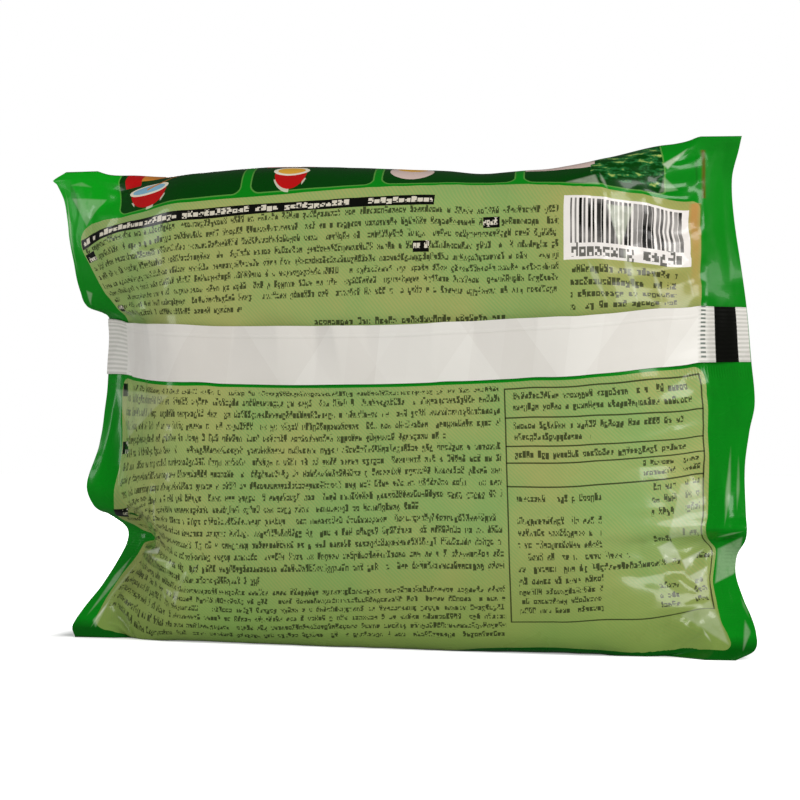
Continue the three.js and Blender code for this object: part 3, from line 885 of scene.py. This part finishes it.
def paintSteps(layers, at, u, v):
    # a pan with water, a pan with noodles, a bowl, and greens
    finish = layers.finish
    low, wide = pictures["panLow"], pictures["rimWide"]
    rimAt = low + pictures["rimUp"]
    outer, inner = pictures["rimHalf"]
    for middle, half, filling in pictures["pans"]:
        body = oval(at, middle, low + pictures["panUp"], half, pictures["panHalf"])
        body = body * v.below(low + pictures["panTop"])
        flameWide, flameHalf = half + pictures["flameWide"], pictures["flameHalf"]
        flames = oval(at, middle, low + pictures["flameUp"], flameWide, flameHalf)
        flames = flames * finish.dice(u.whole(), 3.0).below(pictures["flameOdds"])
        flames = flames * v.below(low + pictures["flameTop"])
        layers.lay(flames * pictures["flameShare"], "cream")
        layers.lay(body, "red")
        layers.lay(oval(at, middle, rimAt, half + wide, outer), "cream")
        layers.lay(oval(at, middle, rimAt, half - wide, inner), filling)
    slope, thick = pictures["spoonSlope"], pictures["spoonHalf"]
    pointU, pointV = pictures["spoonPoint"]
    off = u.math("MULTIPLY_ADD", slope, pointV - pointU * slope) - v
    layers.lay(within(off, -thick, thick) * within(u, *pictures["spoon"]), "spoon")
    for left, right, low, high, tone in pictures["blocks"]:
        layers.lay(box(u, v, left, right, low, high), tone)
    for *places, tone in pictures["bowl"]:
        layers.lay(oval(at, *places), tone)
    leaves = finish.grain(at.vector("MULTIPLY", (1, pictures["leafFlat"], 0)), pictures["leafScale"], 3, 0.6)
    leaves = leaves * roundBox(at, *pictures["greens"])
    for tone, edge, soft in pictures["leafTones"]:
        layers.lay(rising(leaves, edge, soft), tone)


# the front's plain design, in millimetres from its middle: fields as left, right, low, high and corner,
# ovals as their middle and half sizes
design = {
    "foldToMiddle": 126, "sweep": (20, -74, 118, 92), "under": (24, -82, 116, 92),
    "plateEdge": (-66, 12, 14, 44, 7), "plate": (-65, 11, 15, 43, 6.2),
    "bowl": (24, -18), "bowlDrop": 2, "body": (41, 30), "rim": (42, 15), "inside": (38.5, 12.4),
    # noodle strands: how much they wander and how fine that is, and the waves along and up
    "wander": 53, "wanderScale": 0.09, "waves": (1.03, 0.57),
    "slices": ((-18, 3), (6, 6), (21, -3), (-6, -6)), "slice": (4.6, 2.6), "sliceHeart": 0.45,
    # leaves: place and lean
    "leaves": ((-26, -2, 0.5), (-9, 1, -0.4), (13, 1, 0.3), (29, 2, -0.5), (2, -1, 0.6)),
    "leaf": (5.4, 1.7), "leafRib": (4.8, 0.25),
}


def paintFront(finish, at, surface):
    # a plain design of the same colours: a pale sweep, a bare red plate, and a bowl of noodles with greens
    at = at.vector("MULTIPLY_ADD", (-1, -1, 0), (filmLength / 2, design["foldToMiddle"], 0))
    across = finish.node("SeparateXYZ", {}, {0: at})
    up = Term(finish, across.socket.node.outputs[1])
    layers = Layers(finish, inkAndPaintedLight["green"])
    layers.lay(finish.grain(surface, tones["ground"]), "greenCalm")
    layers.lay(oval(at, *design["sweep"]), "sweep")
    layers.lay(oval(at, *design["under"]), "greenDark")
    layers.lay(roundBox(at, *design["plateEdge"]), "gold")
    layers.lay(roundBox(at, *design["plate"]), "red")
    bowlU, bowlV = design["bowl"]
    body = oval(at, bowlU, bowlV - design["bowlDrop"], *design["body"]) * up.below(bowlV)
    layers.lay(body, "cream")
    layers.lay(oval(at, bowlU, bowlV, *design["rim"]), "cream")
    bend = finish.grain(at, design["wanderScale"])
    alongWave, upWave = design["waves"]
    strand = bend.math("MULTIPLY_ADD", design["wander"], across * alongWave + up * upWave).math("SINE")
    noodles = finish.mix(strand * 0.5 + 0.5, inkAndPaintedLight["noodleDark"], inkAndPaintedLight["noodleLight"])
    layers.lay(oval(at, bowlU, bowlV, *design["inside"]), noodles)
    for offU, offV in design["slices"]:
        far = fromMiddle(at, bowlU + offU, bowlV + offV, *design["slice"])
        layers.lay(far.below(1), "carrot")
        layers.lay(far.below(design["sliceHeart"]), "carrotLight")
    for offU, offV, lean in design["leaves"]:
        leafV = up - across.math("MULTIPLY_ADD", lean, -lean * (bowlU + offU))
        leafAt = finish.node("CombineXYZ", {}, {0: across, 1: leafV})
        for part, tone in (("leaf", "leaf"), ("leafRib", "leafPale")):
            shape = oval(leafAt, bowlU + offU, bowlV + offV, *design[part])
            layers.lay(shape, tone)
    return layers.colour


# the painted sheen (painted highlights) and painted shade on the sharpest folds of the back, as x and z in
# millimetres: facets by their corners, streaks by their start, their end and their width, and how strong each
# is
sheen = {
    "shineFacets": [
        ((-81.5, 108.5), (-70.5, 107.5), (-76, 100.5), 0.24),
        ((-82.5, 111.5), (-74.5, 110.5), (-78.5, 112.5), 0.16),
        ((-77.5, 85.5), (-75, 84.5), (-77, 81), 0.28), ((-64.5, 20), (-52.5, 22.5), (-53, 20.5), 0.65),
        ((-72.5, 4), (-69, 9.5), (-71, 2), 0.3), ((-47.5, 12.5), (-45, 12.5), (-46.5, 8), 0.3),
        ((-52, 14.5), (-49, 10.5), (-50, 10), 0.25), ((-71.5, 61), (-48, 58.5), (-65, 48), 0.2),
        ((70.5, 38), (75.5, 39.5), (75.5, 26.5), (68, 25.5), 0.28),
        ((65.5, 24), (68.5, 25.5), (71, 21), (67.5, 20), 0.5), ((70.5, 21), (76, 24), (71.5, 18.5), 0.6),
        ((72, 17.5), (76.5, 20), (74.5, 15), 0.45), ((70.5, 9), (77, 12.5), (82, 2.5), 0.25),
        ((78, 23.5), (84, 26.5), (81.5, 17.5), (77.5, 15.5), 0.3), ((84, 8.5), (86, 5.5), (84.5, 1), 0.25),
        ((66.5, 109.5), (73, 114), (68, 108), 0.6), ((67, 107), (70.5, 103.5), (66, 102.5), 0.27),
        ((45.5, 105), (53, 107), (54.5, 104), 0.35), ((55.5, 100), (61.5, 99.5), (58.5, 89.5), 0.45)],
    "shineStreaks": [
        ((-83.5, 111.5), (-78.5, 85), 1, 0.4), ((-67, 19.5), (-75, 3.5), 2.2, 0.3),
        ((-64, 19), (-72.5, 4.5), 1.4, 0.2), ((-59.5, 20.5), (-42.5, 18), 1.1, 0.35),
        ((-69, 10), (-73, 0.5), 1, 0.5), ((-53, 35.5), (-54.5, 23.5), 1, 0.3),
        ((71, 8), (74, 5.5), 0.6, 0.55), ((75.5, 6.5), (78.5, 2.5), 0.8, 0.65),
        ((80, 28), (81.5, 49), 1.5, 0.28), ((82.5, 31), (83, 47), 1.1, 0.22),
        ((84.5, 27.5), (76, 25.5), 0.8, 0.45), ((82.5, 13), (86, 6.5), 0.8, 0.2),
        ((51.5, 88), (56.5, 76.5), 1.9, 0.3), ((59, 91), (62.5, 76.5), 2.1, 0.3),
        ((65, 86), (67.5, 76.5), 1.4, 0.35), ((72, 85.5), (74, 77.5), 0.9, 0.3),
        ((53.5, 107.5), (56.5, 102), 1.1, 0.35)],
    "shadeFacets": [((-71, 111.5), (-66.5, 111), (-66.5, 107.5), 0.25)],
    "shadeStreaks": [
        ((-63.5, 19.8), (-42.5, 15), 1.3, 0.55), ((-54, 38.5), (-55.5, 22.5), 1.4, 0.3),
        ((84, 26.8), (77, 24.8), 1.6, 0.4), ((-82, 113), (-78, 101.5), 2.2, 0.3),
        ((74, 113), (74, 101.5), 1.1, 0.35)],
    # the soft border of a mark, where a streak is widest, and how strong all marks together may get
    "soft": 0.45, "widest": 0.35, "most": 0.8,
    # the patches that break up the painted highlights and painted shade: how flat and how fine they are, and
    # how they fade them
    "patchFlat": 0.6, "patchScale": 700, "patchFade": (1.3, 0.35),
}


def wedge(across, up, corners, soft):
    # 1 inside a shape of three or four corners, falling to 0 over a soft border inside its sides
    corners = [Vector(corner) for corner in corners]
    middle = sum(corners, Vector((0, 0))) / len(corners)
    sides = []
    for start, stop in zip(corners, corners[1:] + corners[:1]):
        run = (stop - start).normalized()
        out = Vector((run.y, -run.x))
        if out.dot(middle - start) > 0:
            out = -out
        sides.append((out.x, out.y, soft - out.dot(start)))
    leanX, leanZ, shift = zip(*sides[:3])
    far = across.vector("MULTIPLY_ADD", leanX, up.vector("MULTIPLY_ADD", leanZ, shift))
    far = far.vector("MAXIMUM", (0, 0, 0)).vector("LENGTH", out="Value")
    for leanX, leanZ, shift in sides[3:]:
        far = far.math("MAXIMUM", across.math("MULTIPLY_ADD", leanX, up.math("MULTIPLY_ADD", leanZ, shift)))
    return falling(far, soft / 2, soft)


def streakCorners(start, stop, width):
    # a streak is widest a third of the way along, and ends in a point both ways
    start, stop = Vector(start), Vector(stop)
    run = (stop - start).normalized()
    side = Vector((-run.y, run.x)) * width / 2
    widest = start.lerp(stop, sheen["widest"])
    return start, widest + side, stop, widest - side


def paintSheen(finish, ground, surface):
    # painted highlights and painted shade on the folds, laid over the printed colour and broken up in patches
    across = finish.node("SeparateXYZ", {}, {0: surface.vector("MULTIPLY", (1 / mm, 1 / mm, 1 / mm))})
    up = Term(finish, across.socket.node.outputs[2])
    flat = surface.vector("MULTIPLY", (1, 1, sheen["patchFlat"]))
    patchy = finish.grain(flat, sheen["patchScale"]).math("MULTIPLY_ADD", *sheen["patchFade"], clamp=True)
    for tone in ("shade", "shine"):
        shapes = [(corners, strength) for *corners, strength in sheen[tone + "Facets"]]
        shapes += [(streakCorners(*one[:3]), one[3]) for one in sheen[tone + "Streaks"]]
        total = patchy * 0
        for corners, strength in shapes:
            total = wedge(across, up, corners, sheen["soft"]).math("MULTIPLY_ADD", strength, total)
        ground = finish.mix(total.math("MINIMUM", sheen["most"]) * patchy, ground, inkAndPaintedLight[tone])
    return ground


# the film's gloss and fine relief; lengths in millimetres of film
gloss = {
    # the seals: their soft inner edge, the pitch of their ribs, the width of a band of ribs and its edges,
    # and patches where the ribs show
    "sealSoft": 0.6, "ribPitch": 0.95, "band": 3.1, "bandEdge": (0.3, 0.3), "patches": 45,
    "patchEdge": (0.5, 0.3),
    # the upper part of the back, where the ribs show least: its low and high end, and how much less
    "calmFrom": (-34, 8), "calmTo": (60, 8), "calmShare": 0.85,
    # fine ticks below the fin, the film's crumple, and how high each stands
    "tickPitch": 0.56, "tickUp": (-4, -1.8), "crumple": 260, "ribHigh": 0.42, "tickHigh": 0.12,
    "crumpleHigh": 0.3, "bump": 0.5, "bumpReach": 0.0003,
    # where the seals turn duller, and how rough and how coated the film is
    "dullUp": (10, 16), "roughScale": 90, "rough": (0.2, 0.16, 0.1), "coat": (0.35, 0.12, 0.22),
}


def ribsOf(along):
    # the seals' fine pressed ribs, from 0 to 1
    return (along * (math.tau / gloss["ribPitch"])).math("SINE") * 0.5 + 0.5


def filmPaint():
    # glossy printed film
    finish = Finish("printed_film", Coat_Roughness=0.1, IOR=1.5, Specular_IOR_Level=0.18)
    at, u, v = finish.filmMap()
    surface = finish.node("TexCoord", {}, {}, out="Object")
    back = paintSheen(finish, paintBack(finish, at, u, v, surface), surface)
    front = paintFront(finish, at, surface)
    onFront = v.above(pack["frontFrom"])
    finish.feed("Base Color", finish.mix(onFront, back, front))
    # the seals are pressed with fine ribs in three bands
    fromEdge = filmLength / 2 - (u - filmLength / 2).absolute()
    inSeal = falling(fromEdge, film["sealWidth"] - gloss["sealSoft"], gloss["sealSoft"])
    bands = (u * (math.pi / gloss["band"])).math("SINE").absolute()
    pressed = inSeal * ribsOf(v) * rising(bands, *gloss["bandEdge"])
    pressed = pressed * rising(finish.grain(surface, gloss["patches"]), *gloss["patchEdge"])
    calm = rising(v, *gloss["calmFrom"]) * falling(v, *gloss["calmTo"])
    pressed = pressed * (1 - calm * gloss["calmShare"])
    ticks = (u * (math.tau / gloss["tickPitch"])).math("SINE") * within(v, *gloss["tickUp"])
    crumple = finish.grain(surface, gloss["crumple"], 3, 0.6) * gloss["crumpleHigh"]
    height = pressed * gloss["ribHigh"] + ticks * gloss["tickHigh"] + crumple
    bump = {"Strength": gloss["bump"], "Distance": gloss["bumpReach"], "Height": height}
    finish.feed("Normal", finish.node("Bump", {}, bump))
    # the upper part of the seals is duller
    dull = inSeal * rising(v, *gloss["dullUp"])
    base, more, duller = gloss["rough"]
    finish.feed("Roughness", finish.grain(surface, gloss["roughScale"], 3) * more + dull * duller + base)
    base, less, duller = gloss["coat"]
    finish.feed("Coat Weight", base - pressed * less - dull * duller)
    print("film paint:", len(finish.tree.nodes), "nodes")
    return finish.material


# the fin's paint; lengths in millimetres of film
white = {
    # flats of painted light and shade: width, lean and random layer of each set, and how their sum turns grey
    "flats": [(13, 0.055, 1.0), (17, -0.045, 2.0), (7.3, -0.02, 3.0)], "greys": (0.5, -0.25),
    # the ends pressed in the seals: the right one's width, their soft edge, how dark and high their ribs are
    "rightSeal": 11.5, "soft": 0.8, "ribShare": 0.5, "ribHigh": 0.5,
    # ticks beside the black mark: where, how high up they start, their edges, and how dark
    "ticks": (161.4, 162.5), "tickFrom": 1, "tickEdge": (0.6, 0.2), "tickShare": 0.8,
    # the hem along the free edge: its height and softness
    "hem": 10.4, "hemSoft": (0.3, 0.3), "hemHigh": 0.5, "crumple": 200, "crumpleHigh": 0.25,
    "bump": 0.45, "roughScale": 80, "rough": (0.34, 0.14), "coat": (0.12, 0.1),
}


def finPaint():
    # the film's white inner side, with a black mark near its right end, and painted light and shade on its
    # leaning flats
    finish = Finish("white_fin", Coat_Roughness=0.2, IOR=1.46, Specular_IOR_Level=0.25)
    at, u, w = finish.filmMap()
    surface = finish.node("TexCoord", {}, {}, out="Object")
    # the limp film lies in leaning flats, each painted a little lighter or darker than the next as painted
    # light and shade
    flats = None
    for width, lean, draw in white["flats"]:
        one = finish.dice((u * (1 / width) + w * lean).whole(), draw)
        flats = one if flats is None else flats + one
    greys = flats.math("MULTIPLY_ADD", *white["greys"], clamp=True)
    tone = finish.mix(greys, inkAndPaintedLight["fin"], inkAndPaintedLight["finGrey"])
    inSeal = falling(u, film["sealWidth"], white["soft"])
    inSeal = inSeal + rising(u, filmLength - white["rightSeal"], white["soft"])
    ribs = ribsOf(w)
    tone = finish.mix(inSeal * ribs * white["ribShare"], tone, inkAndPaintedLight["finRib"])
    ticks = within(u, *white["ticks"]) * rising(ribs, *white["tickEdge"])
    ticks = ticks * w.above(white["tickFrom"])
    tone = finish.mix(ticks * white["tickShare"], tone, inkAndPaintedLight["finTick"])
    tone = finish.mix(within(u, *pack["black"]), tone, inkAndPaintedLight["bar"])
    finish.feed("Base Color", tone)
    hem = falling((w - white["hem"]).absolute(), *white["hemSoft"])
    height = inSeal * ribs * white["ribHigh"] + hem * white["hemHigh"]
    height = height + finish.grain(surface, white["crumple"], 3) * white["crumpleHigh"]
    bump = {"Strength": white["bump"], "Distance": gloss["bumpReach"], "Height": height}
    finish.feed("Normal", finish.node("Bump", {}, bump))
    base, more = white["rough"]
    finish.feed("Roughness", finish.grain(surface, white["roughScale"]) * more + base)
    base, less = white["coat"]
    finish.feed("Coat Weight", base - inSeal * less)
    return finish.material


studio = {
    # the camera's place in millimetres, its turn and tilt in degrees, its lens and sensor in millimetres
    "cameraPlace": (126.43, -400.06, 44.5), "turn": 17.0, "tilt": 1.74, "lens": 79.92, "sensor": 36.0,
    # name, place and what it looks at in metres, width, height, power and colour
    "lights": [
        ("key", (0.62, -0.42, 0.42), (0, 0, 0.05), 0.3, 0.45, 3.2, (1, 0.99, 0.97)),
        ("fill", (-0.75, -0.4, 0.35), (0, 0, 0.05), 0.2, 0.5, 1.3, (0.97, 0.98, 1)),
        ("rear", (-0.5, 0.8, 0.16), (0, 0, 0.05), 0.35, 0.3, 3, (1, 1, 1))],
    # the floor: its size, and half of the packet's foot with the border over which the glow sets in, in
    # metres; how white it is, and its glow at the foot and elsewhere
    "floorSize": 6.0, "floorWhite": 0.93, "floorFoot": (0.08, 0.006), "floorClear": (0, 0.009),
    "floorGlow": (0.02, 0.9), "floorGrain": 6, "floorDark": 0.92,
    # how bright the world is to the camera, to the packet and in the packet's gloss
    "worldSeen": 1.0, "worldLight": 0.38, "worldGloss": 0.05,
}


def setCamera():
    data = bpy.data.cameras.new("camera")
    data.lens = studio["lens"]
    data.sensor_width = studio["sensor"]
    camera = bpy.data.objects.new("camera", data)
    bpy.context.scene.collection.objects.link(camera)
    camera.location = Vector(studio["cameraPlace"]) * mm
    turn, tilt = math.radians(studio["turn"]), math.radians(studio["tilt"])
    camera.rotation_euler = (math.radians(90) + tilt, 0, turn)
    bpy.context.scene.camera = camera


def setStudio():
    bpy.context.scene.view_settings.view_transform = "Standard"
    for name, at, toward, wide, high, power, colour in studio["lights"]:
        data = bpy.data.lights.new(name, "AREA")
        data.shape = "RECTANGLE"
        data.size, data.size_y, data.energy, data.color = wide, high, power, colour
        lamp = bpy.data.objects.new(name, data)
        bpy.context.scene.collection.objects.link(lamp)
        lamp.location = at
        lamp.rotation_euler = (Vector(toward) - Vector(at)).to_track_quat("-Z", "Y").to_euler()
    world = bpy.data.worlds.new("studio")
    bpy.context.scene.world = world
    world.use_nodes = True
    # white behind the packet, bright round it, and darker in its gloss
    sky = Nodes(world.node_tree)
    seen = sky.node("LightPath", {}, {}, "Is Camera Ray")
    mirrored = Term(sky, seen.socket.node.outputs["Is Glossy Ray"])
    strength = seen * (studio["worldSeen"] - studio["worldLight"]) + studio["worldLight"]
    strength = strength + mirrored * (studio["worldGloss"] - studio["worldLight"])
    background = world.node_tree.nodes["Background"]
    background.inputs["Color"].default_value = (1, 1, 1, 1)
    world.node_tree.links.new(strength.socket, background.inputs["Strength"])
    bpy.ops.object.select_all(action="DESELECT")
    bpy.ops.mesh.primitive_plane_add(size=studio["floorSize"], location=(0, 0, 0))
    floor = bpy.context.object
    floor.name = "floor"
    floor.visible_glossy = False
    # the sweep looks white to the camera, except right round the packet's foot
    plain = Finish("floor_white", Roughness=0.9, Emission_Strength=1.0)
    surface = plain.node("TexCoord", {}, {}, out="Object")
    away = surface.vector("ABSOLUTE").vector("SUBTRACT", (*studio["floorFoot"], 0))
    away = away.vector("MAXIMUM", (0, 0, 0))
    low, high = studio["floorClear"]
    clear = rising(away.vector("LENGTH", out="Value"), (low + high) / 2, high - low)
    seen = plain.node("LightPath", {}, {}, "Is Camera Ray")
    dark, bright = [[value] * 3 + [1] for value in studio["floorGlow"]]
    plain.feed("Emission Color", plain.mix(clear * seen, dark, bright))
    pale, dull = [[value] * 3 + [1] for value in (studio["floorWhite"], studio["floorDark"])]
    plain.feed("Base Color", plain.mix(plain.grain(surface, studio["floorGrain"]), pale, dull))
    floor.data.materials.append(plain.material)
    print("studio set")


setCamera()
setStudio()
packFilm = makeFilm()
packFilm.data.materials.append(filmPaint())
backFin = makeFin()
backFin.data.materials.append(finPaint())
for piece in (packFilm, backFin):
    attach(piece, "root")
    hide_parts("noodle_packet")
